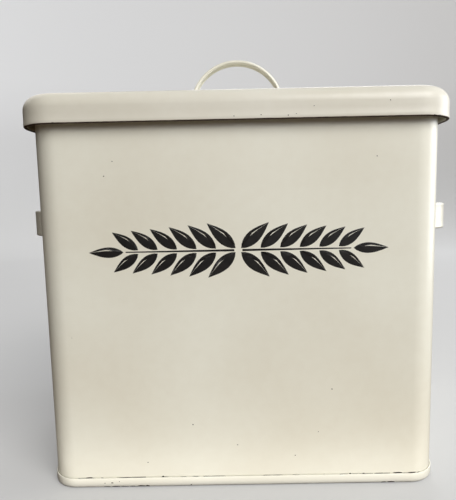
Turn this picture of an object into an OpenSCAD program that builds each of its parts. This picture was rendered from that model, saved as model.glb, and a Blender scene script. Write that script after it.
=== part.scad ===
// Enamelled sheet-steel bread bin with an overhanging lift-off lid and three strap handles.
// Millimetres. +Z is up and +X is to the right of the front face, which looks along -Y.
// The origin is on the surface that the bin stands on, under the middle of the bin.

/* [Body] */
// Width across the side walls
body_w = 320; // [260:5:400]
// Depth from the front wall to the back wall
body_d = 220; // [190:5:300]
// Height of the top of the rolled rim
body_h = 313.5; // [260:0.5:360]
// Outside radius of the four upright corners
corner_r = 22; // [18:1:35]
// Thickness of the enamelled sheet
sheet = 1.0; // [0.8:0.1:1.2]

/* [Rim] */
// Radius of the steel wire inside the rolled rim
wire_r = 1.5; // [1.2:0.1:1.6]

/* [Base] */
// Height of the band that wraps the foot of the walls
band_h = 8.2; // [6:0.1:12]
// How far the band stands out from the walls
band_proud = 1.2; // [1.2:0.1:1.6]
// Radius of the rounded lower edge of the band
foot_round = 2.2; // [1.8:0.1:2.4]
// Height of the floor's underside above the table
floor_rise = 3; // [1.5:0.5:5]

/* [Lid] */
// How far the lid's skirt stands out from the walls
lid_overhang = 8; // [7.5:0.5:9]
// Height of the lid from its lower edge to its flat top
lid_depth = 24.5; // [20:0.5:40]
// Outside radius of the rounded shoulder
shoulder_r = 12; // [11.5:0.5:13]
// Thickness of the hem along the lower edge
hem_t = 2.4; // [2:0.1:2.6]
// Height of the hem
hem_h = 3.2; // [2.5:0.1:5]

/* [Lid handle] */
// Outside radius of the lid handle's bow
lid_bow_r = 46; // [35:1:60]
// Height of the bow's centre above the lid
lid_bow_rise = 6; // [5:0.5:20]
// Width of the lid handle's strap
lid_strap_w = 13; // [11:1:20]

/* [Side handles] */
// Outside radius of a side handle's bow
side_bow_r = 39; // [30:1:50]
// Distance of the bow's centre from the side wall
side_bow_rise = 5; // [5:0.5:15]
// Width of a side handle's strap
side_strap_w = 24; // [22:1:30]
// Height of the middle of the side handles
side_handle_z = 215.5; // [150:0.5:240]

/* [Straps and rivets] */
// Thickness of the straps
strap_t = 1.4; // [1.2:0.1:1.8]
// Radius of the rolled bead along each edge of a strap
bead_r = 1.5; // [1.2:0.1:2]
// Inside radius of the bend between a strap and its foot
bend_r = 3; // [2:0.5:3.5]
// Radius of a rivet's shank
shank_r = 2; // [1.5:0.1:2.5]
// Radius of a rivet's domed head
head_r = 3.8; // [3.5:0.1:4.5]

/* [Hidden] */
$fn = 96;

ENAMEL = "#e6dfc9";
STEEL = "#9a9a98";

// Clearances: between nested sheets, round a rivet's shank, round the wire, and under the lid
nest_gap = 0.2;
shank_gap = 0.05;
wire_gap = 0.1;
seat_gap = 0.3;

// Rim: the sheet's edge is rolled outwards round the wire
curl_in = wire_r + wire_gap;
curl_out = curl_in + sheet;
curl_x = corner_r - sheet + curl_out;
curl_z = body_h - curl_out;

// Foot: the walls stand in a channel that the base pan's edge forms
leg_x = corner_r - sheet - nest_gap - sheet;
band_x = corner_r + band_proud;
foot_x = band_x - foot_round;
channel_x = leg_x + sheet;
wall_foot = foot_round + nest_gap;
floor_top = floor_rise + sheet;

// Lid: the inside of its shoulder sits on the rolled rim
lid_r = corner_r + lid_overhang;
shoulder_x = lid_r - shoulder_r;
seat_reach = shoulder_r - sheet - curl_out - seat_gap;
shoulder_z = curl_z - sqrt(pow(seat_reach, 2) - pow(curl_x - shoulder_x, 2));
lid_top = shoulder_z + shoulder_r;
lid_edge = lid_top - lid_depth;
hem_x = lid_r - hem_t;

// Lap seam up the middle of the back wall
lap_w = 9;
lap_t = 0.7;

// Feet of the straps, and the rivets in them
foot_flat = 14;
foot_corner = 4.5;
rivet_inset = 8;
side_rivet_pitch = 12;
head_h = 1.7;
tail_r = 3.1;
tail_h = 0.9;

// Runs an outline round a rectangle w by d with corners of radius r.
// The outline's x is measured outwards from a corner's own axis, and its y is the height.
module run_round(w, d, r) {
    for (turn = [0 : 3]) {
        long = turn % 2 == 0 ? d : w;
        wide = turn % 2 == 0 ? w : d;
        rotate([0, 0, 90 * turn]) {
            translate([wide / 2 - r, long / 2 - r, 0])
                rotate([90, 0, 0])
                    linear_extrude(long - 2 * r) children();
            translate([wide / 2 - r, long / 2 - r, 0])
                rotate_extrude(angle = 90) children();
        }
    }
}

// Flat sheet that fills a rectangle w by d with corners of radius r
module rounded_plate(w, d, r, t) {
    linear_extrude(t) {
        square([w, d - 2 * r], center = true);
        square([w - 2 * r, d], center = true);
        for (sx = [-1, 1], sy = [-1, 1])
            translate([sx * (w / 2 - r), sy * (d / 2 - r)]) circle(r);
    }
}

// Outline of the wall with its rolled rim
module wall_outline() {
    translate([corner_r - sheet, wall_foot]) square([sheet, curl_z - wall_foot]);
    translate([curl_x, curl_z]) difference() {
        circle(curl_out);
        circle(curl_in);
    }
}

// Outline of the base pan's edge: inner leg, rounded foot and outer band
module foot_outline() {
    difference() {
        union() {
            translate([leg_x, 0]) square([foot_x - leg_x, foot_round]);
            translate([leg_x, foot_round]) square([band_x - leg_x, band_h - foot_round]);
            translate([foot_x, foot_round]) circle(foot_round);
        }
        translate([channel_x, foot_round]) square([corner_r + nest_gap - channel_x, band_h]);
        intersection() {
            translate([foot_x, foot_round]) circle(foot_round - sheet);
            translate([channel_x, 0]) square(band_h);
        }
        translate([leg_x - 1, floor_top]) square([1 + channel_x - leg_x, band_h]);
    }
}

// Outline of the lid's edge: shoulder, skirt and rounded hem
module lid_outline() {
    translate([shoulder_x, shoulder_z]) intersection() {
        difference() {
            circle(shoulder_r);
            circle(shoulder_r - sheet);
        }
        square(shoulder_r + 1);
    }
    translate([lid_r - sheet, lid_edge + hem_h]) square([sheet, shoulder_z - lid_edge - hem_h]);
    translate([hem_x, lid_edge + hem_t / 2]) square([hem_t, hem_h - hem_t / 2]);
    translate([hem_x + hem_t / 2, lid_edge + hem_t / 2]) circle(hem_t / 2);
}

// Outline across a strap: x is the distance from the bow's centre, y runs across the strap
module strap_outline(r, w) {
    translate([r - strap_t, -w / 2 + bead_r]) square([strap_t, w - 2 * bead_r]);
    for (side = [-1, 1])
        translate([r - bead_r + 0.15, side * (w / 2 - bead_r)]) circle(bead_r);
}

// Flat outline of a strap's foot, from the bend outwards, with two rounded corners
module foot_plan(w) {
    translate([0, -w / 2]) square([foot_flat - foot_corner, w]);
    translate([0, foot_corner - w / 2]) square([foot_flat, w - 2 * foot_corner]);
    for (side = [-1, 1])
        translate([foot_flat - foot_corner, side * (w / 2 - foot_corner)]) circle(foot_corner);
}

// Strap handle on the plane z = 0: a half-round bow in the XZ plane on two feet turned outwards
module strap_handle(r, rise, w, pitch) {
    neck = strap_t + bend_r;
    translate([0, 0, rise]) rotate([90, 0, 0]) rotate_extrude(angle = 180) strap_outline(r, w);
    for (side = [0, 1]) mirror([side, 0, 0]) {
        translate([0, 0, neck]) linear_extrude(rise - neck) strap_outline(r, w);
        for (edge = [-1, 1])
            translate([r - bead_r + 0.15, edge * (w / 2 - bead_r), neck]) sphere(bead_r);
        translate([r + bend_r, 0, neck]) rotate([90, 0, 0])
            rotate_extrude(angle = 90, start = 180)
                translate([bend_r, -w / 2]) square([strap_t, w]);
        difference() {
            translate([r + bend_r, 0, 0]) linear_extrude(strap_t) foot_plan(w);
            for (at = rivet_places(r, pitch))
                translate([at[0], at[1], -1]) cylinder(h = strap_t + 2, r = shank_r + shank_gap);
        }
    }
}

// Places of the rivets in one foot, in the handle's own plane
function rivet_places(r, pitch) =
    pitch == 0 ? [[r + bend_r + rivet_inset, 0]]
               : [for (side = [-1, 1]) [r + bend_r + rivet_inset, side * pitch / 2]];

// Rivet through a strap's foot and the sheet below it, which has its face at z = 0
module rivet() {
    dome_r = (pow(head_r, 2) + pow(head_h, 2)) / (2 * head_h);
    rotate_extrude() {
        translate([0, -sheet]) square([shank_r, sheet + strap_t]);
        translate([0, -sheet - tail_h]) square([tail_r, tail_h]);
        intersection() {
            translate([0, strap_t + head_h - dome_r]) circle(dome_r);
            translate([0, strap_t]) square([head_r + 1, head_h + 1]);
        }
    }
}

// All the rivets of one handle
module rivet_set(r, pitch) {
    for (side = [0, 1]) mirror([side, 0, 0])
        for (at = rivet_places(r, pitch)) translate([at[0], at[1], 0]) rivet();
}

// Holes in the sheet below one handle
module rivet_holes(r, pitch) {
    for (side = [0, 1]) mirror([side, 0, 0])
        for (at = rivet_places(r, pitch))
            translate([at[0], at[1], -sheet - 1]) cylinder(h = sheet + 2, r = shank_r + shank_gap);
}

// Puts a handle that is drawn on z = 0 on the right wall, or on the left wall
module on_side(left) {
    mirror([left ? 1 : 0, 0, 0])
        translate([body_w / 2, 0, side_handle_z]) rotate([90, 0, 90]) children();
}

// Puts a handle that is drawn on z = 0 on the lid
module on_lid() {
    translate([0, 0, lid_top]) children();
}

// Wrap of the four walls, with the rolled rim and the lap seam at the back
module body_wall() {
    color(ENAMEL) {
        difference() {
            run_round(body_w, body_d, corner_r) wall_outline();
            for (left = [false, true]) on_side(left) rivet_holes(side_bow_r, side_rivet_pitch);
        }
        translate([-lap_w / 2, body_d / 2, band_h + nest_gap])
            cube([lap_w, lap_t, curl_z - curl_out - band_h - 2 * nest_gap]);
    }
}

// Steel wire that stiffens the rolled rim
module rim_wire() {
    color(STEEL) run_round(body_w, body_d, corner_r) translate([curl_x, curl_z]) circle(wire_r);
}

// Base pan: raised floor, rounded foot and the band outside the walls
module base_pan() {
    inset = corner_r - leg_x;
    color(ENAMEL) {
        run_round(body_w, body_d, corner_r) foot_outline();
        translate([0, 0, floor_rise])
            rounded_plate(body_w - 2 * inset, body_d - 2 * inset, leg_x, sheet);
    }
}

// Carrying handle on the left wall
module left_handle() {
    color(ENAMEL) on_side(true)
        strap_handle(side_bow_r, side_bow_rise, side_strap_w, side_rivet_pitch);
}

// Carrying handle on the right wall
module right_handle() {
    color(ENAMEL) on_side(false)
        strap_handle(side_bow_r, side_bow_rise, side_strap_w, side_rivet_pitch);
}

// Rivets of the left handle
module left_handle_rivets() {
    color(ENAMEL) on_side(true) rivet_set(side_bow_r, side_rivet_pitch);
}

// Rivets of the right handle
module right_handle_rivets() {
    color(ENAMEL) on_side(false) rivet_set(side_bow_r, side_rivet_pitch);
}

// Pressed lid: flat top, rounded shoulder, skirt and hem
module lid_pan() {
    inset = corner_r - shoulder_x;
    color(ENAMEL) difference() {
        union() {
            run_round(body_w, body_d, corner_r) lid_outline();
            translate([0, 0, lid_top - sheet])
                rounded_plate(body_w - 2 * inset, body_d - 2 * inset, shoulder_x, sheet);
        }
        on_lid() rivet_holes(lid_bow_r, 0);
    }
}

// Handle that stands on the lid
module lid_handle() {
    color(ENAMEL) on_lid() strap_handle(lid_bow_r, lid_bow_rise, lid_strap_w, 0);
}

// Rivets of the lid's handle
module lid_handle_rivets() {
    color(ENAMEL) on_lid() rivet_set(lid_bow_r, 0);
}

body_wall();
rim_wire();
base_pan();
left_handle();
right_handle();
left_handle_rivets();
right_handle_rivets();
lid_pan();
lid_handle();
lid_handle_rivets();
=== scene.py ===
"""Looks of a cream enamelled bread bin with an overhanging lift-off lid and three strap handles.

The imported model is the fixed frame. The visible sheet metal is rebuilt round it as swept shells with
the slack, the soft enamelled edges and the wear of the real thing. Every piece rides on the body of the
CAD node that it stands for or lies on.
"""

import logging
import math
import random
from collections.abc import Callable, Sequence
from dataclasses import dataclass
from enum import Enum

import bmesh
import bpy
from mathutils import Matrix, Vector, noise


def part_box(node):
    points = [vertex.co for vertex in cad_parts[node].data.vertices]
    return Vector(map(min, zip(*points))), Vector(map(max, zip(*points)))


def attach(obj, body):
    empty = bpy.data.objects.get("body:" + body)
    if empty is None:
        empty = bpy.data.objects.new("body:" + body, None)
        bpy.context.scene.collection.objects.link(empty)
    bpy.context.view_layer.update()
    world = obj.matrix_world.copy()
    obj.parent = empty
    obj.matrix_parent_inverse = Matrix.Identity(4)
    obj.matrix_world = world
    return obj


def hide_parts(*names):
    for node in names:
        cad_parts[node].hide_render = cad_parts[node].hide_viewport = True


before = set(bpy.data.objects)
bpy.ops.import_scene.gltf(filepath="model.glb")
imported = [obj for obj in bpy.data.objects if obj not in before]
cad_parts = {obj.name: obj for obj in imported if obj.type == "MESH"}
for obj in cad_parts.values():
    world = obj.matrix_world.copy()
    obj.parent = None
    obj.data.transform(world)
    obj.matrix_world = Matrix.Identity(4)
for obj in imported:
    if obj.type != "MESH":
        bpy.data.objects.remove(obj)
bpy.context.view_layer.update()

MM = 0.001
SAME_POINT = 1e-7
LOG = logging.getLogger("bread_bin")

Point = tuple[float, float]
Point3 = tuple[float, float, float]
Links = dict[str | int, bpy.types.NodeSocket]
Settings = dict[str | int, object]


# ---------------------------------------------------------------- small helpers


def linear(hex_colour: str) -> tuple[float, float, float, float]:
    """Turns an sRGB hex colour into the linear colour that a shader takes.

    Args:
        hex_colour: Six hex digits after a hash sign.

    Returns:
        Linear red, green and blue, with an alpha of 1.
    """
    channels = (int(hex_colour[i : i + 2], 16) / 255 for i in (1, 3, 5))
    red, green, blue = (
        c / 12.92 if c <= 0.04045 else ((c + 0.055) / 1.055) ** 2.4 for c in channels
    )
    return red, green, blue, 1.0


def add_node(
    tree: bpy.types.NodeTree, kind: str, settings: Settings | None = None, links: Links | None = None
) -> bpy.types.Node:
    """Adds a node to a tree, with its settings and what feeds it.

    Args:
        tree: The tree that gets the node.
        kind: The node's type name in Blender.
        settings: Values by input name or number, or by the node's own property name.
        links: Output sockets by the input name or number that they feed.

    Returns:
        The new node.
    """
    node = tree.nodes.new(kind)
    for key, value in (settings or {}).items():
        if isinstance(key, int) or key in node.inputs:
            node.inputs[key].default_value = value
        else:
            setattr(node, key, value)
    for key, socket in (links or {}).items():
        tree.links.new(socket, node.inputs[key])
    return node


def ease(t: float) -> float:
    """Returns t held to 0 to 1 and eased at both ends."""
    t = min(1.0, max(0.0, t))
    return t * t * (3 - 2 * t)


def arc(centre: Point, radius: float, start: float, end: float, steps: int) -> list[Point]:
    """Points along an arc, both ends included.

    Args:
        centre: Centre of the arc.
        radius: Its radius.
        start: First angle in degrees.
        end: Last angle in degrees.
        steps: Number of chords.

    Returns:
        The points, in order.
    """
    angles = (math.radians(start + (end - start) * i / steps) for i in range(steps + 1))
    return [(centre[0] + radius * math.cos(a), centre[1] + radius * math.sin(a)) for a in angles]


def run(start: Point, end: Point, step: float) -> list[Point]:
    """Points along a straight line, both ends included.

    Args:
        start: First point.
        end: Last point.
        step: Distance between points, about.

    Returns:
        The points, in order.
    """
    count = max(1, round(math.dist(start, end) / step))
    return [
        (start[0] + (end[0] - start[0]) * i / count, start[1] + (end[1] - start[1]) * i / count)
        for i in range(count + 1)
    ]


def join_runs(*runs: Sequence[Point]) -> list[Point]:
    """Joins runs of points into one outline and drops repeated points.

    Args:
        runs: The runs, in order.

    Returns:
        The outline.
    """
    outline: list[Point] = []
    for point in (p for points in runs for p in points):
        if not outline or math.dist(outline[-1], point) > SAME_POINT:
            outline.append(point)
    return outline


def make_piece(name: str, mesh: bmesh.types.BMesh, merge: float = 0.0) -> bpy.types.Object:
    """Turns a bmesh into a smooth-shaded object at the origin of the frame.

    Args:
        name: The piece's name.
        mesh: The mesh, in metres. It is freed.
        merge: Distance within which vertices are merged, or 0 for none.

    Returns:
        The new object.
    """
    if merge:
        bmesh.ops.remove_doubles(mesh, verts=mesh.verts, dist=merge)
        bmesh.ops.dissolve_degenerate(mesh, edges=mesh.edges, dist=merge)
    bmesh.ops.recalc_face_normals(mesh, faces=mesh.faces)
    data = bpy.data.meshes.new(name)
    mesh.to_mesh(data)
    mesh.free()
    for face in data.polygons:
        face.use_smooth = True
    piece = bpy.data.objects.new(name, data)
    bpy.context.scene.collection.objects.link(piece)
    return piece


def skin_rings(
    mesh: bmesh.types.BMesh, rings: list[list[Vector]], loop: bool, closed: bool, caps: bool = False
) -> None:
    """Skins a row of rings with quads.

    Args:
        mesh: The mesh that gets the vertices and faces.
        rings: Rings of points, all of one length.
        loop: Whether the last ring joins the first.
        closed: Whether each ring is a closed outline.
        caps: Whether the first and the last ring are filled in.
    """
    verts = [[mesh.verts.new(p) for p in ring] for ring in rings]
    count = len(rings[0])
    for i in range(len(rings) if loop else len(rings) - 1):
        here, there = verts[i], verts[(i + 1) % len(rings)]
        for j in range(count if closed else count - 1):
            k = (j + 1) % count
            mesh.faces.new((here[j], here[k], there[k], there[j]))
    if caps:
        mesh.faces.new(verts[0])
        mesh.faces.new(verts[-1])


# ---------------------------------------------------------------- sizes from the frame


SLACK_POWER = 6
WANDER_START = Vector((3.1, 0.7, 1.9))
RIPPLE_START = Vector((8.3, 2.2, 5.4))
HELD = 9 * MM
EASED = 30 * MM
LID_OVERHANG = 8 * MM
WALL_CORNER = 22 * MM


@dataclass(frozen=True)
class Station:
    """A place on the way round the bin: a point of the core rectangle and the way out from it."""

    core: Point
    out: Point
    slack: float


@dataclass(frozen=True)
class Plan:
    """Plan of the bin: a rectangle with rounded corners that every shell follows at its own offset.

    Offsets are measured outwards from the outside of the walls, in metres.
    """

    half_x: float
    half_y: float
    corner: float
    step: float = 5 * MM
    corner_steps: int = 14

    @property
    def core(self) -> Point:
        """Half sizes of the core rectangle, whose corners are the axes of the rounded corners."""
        return self.half_x - self.corner, self.half_y - self.corner

    def counts(self) -> tuple[int, int]:
        """Numbers of steps along the front and along a side."""
        return tuple(max(2, round(2 * half / self.step)) for half in self.core)

    def stations(self) -> list[Station]:
        """Stations once round the bin, from the left end of the front, anticlockwise from above.

        Returns:
            The stations. A panel's slack dies away towards its ends, and a corner has none.
        """
        found: list[Station] = []
        core_x, core_y = self.core
        sides = ((1, 0), (0, 1), (-1, 0), (0, -1))
        for turn, (along_x, along_y) in enumerate(sides):
            out_x, out_y = along_y, -along_x
            count = self.counts()[turn % 2]
            for i in range(count):
                t = 2 * i / count - 1
                core = (
                    core_x * (along_x * t + out_x),
                    core_y * (along_y * t + out_y),
                )
                found.append(Station(core, (out_x, out_y), 1 - t**SLACK_POWER))
            corner = (core_x * (along_x + out_x), core_y * (along_y + out_y))
            first = math.atan2(out_y, out_x)
            for i in range(self.corner_steps):
                a = first + math.pi / 2 * i / self.corner_steps
                found.append(Station(corner, (math.cos(a), math.sin(a)), 0.0))
        return found

    def place(self, station: Station, offset: float, height: float) -> Vector:
        """Point of the plan.

        Args:
            station: Where on the way round.
            offset: How far outside the walls.
            height: Height of the point.

        Returns:
            The point in the frame.
        """
        reach = self.corner + offset
        return Vector(
            (
                station.core[0] + station.out[0] * reach,
                station.core[1] + station.out[1] * reach,
                height,
            )
        )


@dataclass(frozen=True)
class Sheet:
    """Enamelled sheet steel: its gauge, and how far its flat panels wander from true."""

    gauge: float = 1.0 * MM
    wander: float = 0.28 * MM
    wave: float = 95 * MM
    ripple: float = 0.05 * MM
    ripple_wave: float = 28 * MM

    def slack(self, place: Vector) -> float:
        """How far a loose panel stands out of true at a place.

        Args:
            place: The place, in metres.

        Returns:
            The distance along the panel's outward side, in metres.
        """
        broad = noise.noise(place / self.wave + WANDER_START)
        fine = noise.noise(place / self.ripple_wave + RIPPLE_START)
        return self.wander * broad + self.ripple * fine


def held_flat(place: Vector, pins: Sequence[Vector]) -> float:
    """How free a panel is to wander near its rivets.

    Args:
        place: A place on the panel.
        pins: Places of the rivets.

    Returns:
        0 at a rivet, rising to 1 where the panel is free.
    """
    return min((ease(((place - pin).length - HELD) / EASED) for pin in pins), default=1.0)


def frame_plan() -> Plan:
    """Plan of the walls, worked out from the frame's boxes.

    Returns:
        The plan of the outside of the walls.
    """
    lid_low, lid_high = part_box("lid_pan")
    half_x = (lid_high.x - lid_low.x) / 2 - LID_OVERHANG
    half_y = (lid_high.y - lid_low.y) / 2 - LID_OVERHANG
    return Plan(half_x, half_y, WALL_CORNER)


# ---------------------------------------------------------------- finishes


GLASS_IOR = 1.52


def start_finish(name: str) -> tuple[bpy.types.Material, bpy.types.NodeTree, bpy.types.NodeSocket]:
    """Starts a material with an empty tree.

    Args:
        name: The material's name.

    Returns:
        The material, its tree, and the place on the object in metres.
    """
    made = bpy.data.materials.new(name)
    made.use_nodes = True
    made.node_tree.nodes.clear()
    place = add_node(made.node_tree, "ShaderNodeTexCoord").outputs["Object"]
    return made, made.node_tree, place


class WearAndShade(Enum):
    """Which edge of an enamelled piece has chips down to its ground coat, and a band of painted shade
    along it.
    """

    NONE = "none"
    FOOT = "foot"
    HEM = "hem"


@dataclass(frozen=True)
class VitreousEnamel:
    """Cream vitreous enamel fired on steel over a black ground coat."""

    name: str
    wear: WearAndShade = WearAndShade.NONE
    edge: float = 0.0
    # Height of the band above the worn edge that is painted in the ground coat's black as shade.
    shade_band: float = 0.5 * MM
    coat: str = "#E9E8DB"
    aged: str = "#DDD9C9"
    ground: str = "#1C1714"
    rust: str = "#4B3020"
    cloud: float = 120 * MM
    cloud_gain: float = 2.0
    mottle: float = 9 * MM
    mottle_gain: float = 0.5
    peel: float = 3.5 * MM
    peel_height: float = 0.03 * MM
    peel_strength: float = 0.35
    pinhole_pitch: float = 46 * MM
    pinhole: float = 0.55 * MM
    chip_patch: float = 45 * MM
    chip_reach: float = 1.3 * MM
    chip_depth: float = 0.25 * MM
    # These two shape the top of that band of painted shade: how ragged it is and how softly it ends.
    ragged: float = 0.5 * MM
    shade_band_fade: float = 0.12 * MM
    chip_strength: float = 0.8
    gloss: float = 0.29
    gloss_range: float = 0.04
    bare_roughness: float = 0.62

    def material(self) -> bpy.types.Material:
        """Builds the enamel.

        Returns:
            The material. To the eye it is a soft cream gloss with faint clouds, the slight orange
            peel of a fired coat, rare dark pinholes, chips down to the black ground coat along a
            worn edge, and a narrow band of painted shade in that black along the edge itself.
        """
        made, tree, place = start_finish(self.name)
        centre = 0.5 - (self.cloud_gain + self.mottle_gain) / 2
        cloud = add_node(
            tree,
            "ShaderNodeTexNoise",
            {"Scale": 1 / self.cloud, "Detail": 1.0},
            {"Vector": place},
        )
        mottle = add_node(
            tree,
            "ShaderNodeTexNoise",
            {"Scale": 1 / self.mottle, "Detail": 4.0, "Roughness": 0.6},
            {"Vector": place},
        )
        blend = add_node(
            tree,
            "ShaderNodeMath",
            {"operation": "MULTIPLY_ADD", 1: self.mottle_gain, 2: centre},
            {0: mottle.outputs["Fac"]},
        )
        age = add_node(
            tree,
            "ShaderNodeMath",
            {"operation": "MULTIPLY_ADD", 1: self.cloud_gain},
            {0: cloud.outputs["Fac"], 2: blend.outputs[0]},
        )
        coat = add_node(
            tree,
            "ShaderNodeMix",
            {"data_type": "RGBA", 6: linear(self.coat), 7: linear(self.aged)},
            {0: age.outputs[0]},
        )
        # Mask of pinholes, chips, and a band of painted shade along the worn edge.
        bare = self._bare_and_shade_mask(tree, place, mottle.outputs["Fac"])
        under = add_node(
            tree,
            "ShaderNodeMix",
            {"data_type": "RGBA", 6: linear(self.ground), 7: linear(self.rust)},
            {0: mottle.outputs["Fac"]},
        )
        colour = add_node(
            tree,
            "ShaderNodeMix",
            {"data_type": "RGBA"},
            {0: bare, 6: coat.outputs[2], 7: under.outputs[2]},
        )
        rough = add_node(
            tree,
            "ShaderNodeMapRange",
            {
                "From Min": 0.3,
                "From Max": 0.7,
                "To Min": self.gloss,
                "To Max": self.gloss + self.gloss_range,
            },
            {"Value": mottle.outputs["Fac"]},
        )
        rough_bare = add_node(
            tree,
            "ShaderNodeMix",
            {"data_type": "FLOAT", 3: self.bare_roughness},
            {0: bare, 2: rough.outputs["Result"]},
        )
        peel = add_node(
            tree,
            "ShaderNodeTexNoise",
            {"Scale": 1 / self.peel, "Detail": 1.0},
            {"Vector": place},
        )
        peel_bump = add_node(
            tree,
            "ShaderNodeBump",
            {"Strength": self.peel_strength, "Distance": self.peel_height},
            {"Height": peel.outputs["Fac"]},
        )
        chip_bump = add_node(
            tree,
            "ShaderNodeBump",
            {"Strength": self.chip_strength, "Distance": self.chip_depth, "invert": True},
            {"Height": bare, "Normal": peel_bump.outputs["Normal"]},
        )
        shader = add_node(
            tree,
            "ShaderNodeBsdfPrincipled",
            {"IOR": GLASS_IOR},
            {
                "Base Color": colour.outputs[2],
                "Roughness": rough_bare.outputs[0],
                "Normal": chip_bump.outputs["Normal"],
            },
        )
        add_node(tree, "ShaderNodeOutputMaterial", None, {"Surface": shader.outputs["BSDF"]})
        return made

    def _bare_and_shade_mask(
        self, tree: bpy.types.NodeTree, place: bpy.types.NodeSocket, grit: bpy.types.NodeSocket
    ) -> bpy.types.NodeSocket:
        """Mask of what has lost its coat.

        Pinholes are everywhere. Along a worn edge the coat has chips, and a narrow band along the edge
        itself is painted in the ground coat's black as shade.

        Args:
            tree: The material's tree.
            place: Place on the object.
            grit: Noise that breaks up the outline of the chips.

        Returns:
            The mask, 1 where the ground coat shows or the painted shade lies.
        """
        cells = add_node(
            tree, "ShaderNodeTexVoronoi", {"Scale": 1 / self.pinhole_pitch}, {"Vector": place}
        )
        size = self.pinhole / self.pinhole_pitch
        holes = add_node(
            tree,
            "ShaderNodeMapRange",
            {"From Min": size * 1.25, "From Max": size * 0.75},
            {"Value": cells.outputs["Distance"]},
        )
        if self.wear is WearAndShade.NONE:
            return holes.outputs["Result"]
        height = add_node(tree, "ShaderNodeSeparateXYZ", None, {"Vector": place}).outputs["Z"]
        near = add_node(
            tree,
            "ShaderNodeMapRange",
            {"From Min": self.edge + self.chip_reach, "From Max": self.edge, "To Max": 0.62},
            {"Value": height},
        )
        patch = add_node(
            tree,
            "ShaderNodeTexNoise",
            {"Scale": 1 / self.chip_patch, "Detail": 2.0},
            {"Vector": place},
        )
        both = add_node(
            tree,
            "ShaderNodeMath",
            {"operation": "MULTIPLY_ADD", 1: 0.45},
            {0: grit, 2: patch.outputs["Fac"]},
        )
        edge = add_node(
            tree,
            "ShaderNodeMath",
            {"operation": "MULTIPLY"},
            {0: both.outputs[0], 1: near.outputs["Result"]},
        )
        chips = add_node(
            tree,
            "ShaderNodeMapRange",
            {"From Min": 0.5, "From Max": 0.53},
            {"Value": edge.outputs[0]},
        )
        # Painted shade: below a ragged line just above the worn edge the mask is 1. The ground coat's
        # black stands in for the shade under the lid's hem and where the foot meets the floor.
        ragged = add_node(
            tree,
            "ShaderNodeMath",
            {"operation": "MULTIPLY_ADD", 1: self.ragged},
            {0: grit, 2: height},
        )
        under = add_node(
            tree,
            "ShaderNodeMapRange",
            {"From Min": self.edge + self.shade_band + self.shade_band_fade, "From Max": self.edge + self.shade_band},
            {"Value": ragged.outputs[0]},
        )
        # Real chips, together with that band of painted shade.
        worn = add_node(
            tree,
            "ShaderNodeMath",
            {"operation": "MAXIMUM"},
            {0: chips.outputs["Result"], 1: under.outputs["Result"]},
        )
        return add_node(
            tree,
            "ShaderNodeMath",
            {"operation": "MAXIMUM"},
            {0: holes.outputs["Result"], 1: worn.outputs[0]},
        ).outputs[0]


@dataclass(frozen=True)
class FiredBlack:
    """Black enamel: the decoration fired over the cream, or the ground coat that a chip lays bare."""

    name: str
    deep: str
    worn: str
    grain: float
    gloss: float
    relief: float
    strength: float = 0.6

    def material(self) -> bpy.types.Material:
        """Builds the black.

        Returns:
            The material. To the eye it is near black, a little browner where its coat is thinner, with
            the same soft gloss as the cream or, in a chip, dull and gritty.
        """
        made, tree, place = start_finish(self.name)
        grain = add_node(
            tree,
            "ShaderNodeTexNoise",
            {"Scale": 1 / self.grain, "Detail": 4.0, "Roughness": 0.65},
            {"Vector": place},
        )
        tone = add_node(
            tree,
            "ShaderNodeMapRange",
            {"From Min": 0.45, "From Max": 0.75},
            {"Value": grain.outputs["Fac"]},
        )
        colour = add_node(
            tree,
            "ShaderNodeMix",
            {"data_type": "RGBA", 6: linear(self.deep), 7: linear(self.worn)},
            {0: tone.outputs["Result"]},
        )
        rough = add_node(
            tree,
            "ShaderNodeMapRange",
            {"To Min": self.gloss - 0.05, "To Max": self.gloss + 0.12},
            {"Value": grain.outputs["Fac"]},
        )
        bump = add_node(
            tree,
            "ShaderNodeBump",
            {"Strength": self.strength, "Distance": self.relief},
            {"Height": grain.outputs["Fac"]},
        )
        shader = add_node(
            tree,
            "ShaderNodeBsdfPrincipled",
            {"IOR": GLASS_IOR},
            {
                "Base Color": colour.outputs[2],
                "Roughness": rough.outputs["Result"],
                "Normal": bump.outputs["Normal"],
            },
        )
        add_node(tree, "ShaderNodeOutputMaterial", None, {"Surface": shader.outputs["BSDF"]})
        return made


@dataclass(frozen=True)
class DrawnSteelWire:
    """Bright steel wire, drawn through a die."""

    name: str = "drawn_steel_wire"
    bright: str = "#A5A29C"
    dull: str = "#6E6A64"
    grain: float = 1.2 * MM
    smooth: float = 0.28
    rough: float = 0.5
    relief: float = 0.02 * MM

    def material(self) -> bpy.types.Material:
        """Builds the wire's steel.

        Returns:
            The material. To the eye it is grey metal with fine dull flecks.
        """
        made, tree, place = start_finish(self.name)
        grain = add_node(
            tree, "ShaderNodeTexNoise", {"Scale": 1 / self.grain, "Detail": 3.0}, {"Vector": place}
        )
        colour = add_node(
            tree,
            "ShaderNodeMix",
            {"data_type": "RGBA", 6: linear(self.bright), 7: linear(self.dull)},
            {0: grain.outputs["Fac"]},
        )
        rough = add_node(
            tree,
            "ShaderNodeMapRange",
            {"To Min": self.smooth, "To Max": self.rough},
            {"Value": grain.outputs["Fac"]},
        )
        bump = add_node(
            tree,
            "ShaderNodeBump",
            {"Strength": 0.3, "Distance": self.relief},
            {"Height": grain.outputs["Fac"]},
        )
        shader = add_node(
            tree,
            "ShaderNodeBsdfPrincipled",
            {"Metallic": 1.0},
            {
                "Base Color": colour.outputs[2],
                "Roughness": rough.outputs["Result"],
                "Normal": bump.outputs["Normal"],
            },
        )
        add_node(tree, "ShaderNodeOutputMaterial", None, {"Surface": shader.outputs["BSDF"]})
        return made


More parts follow.
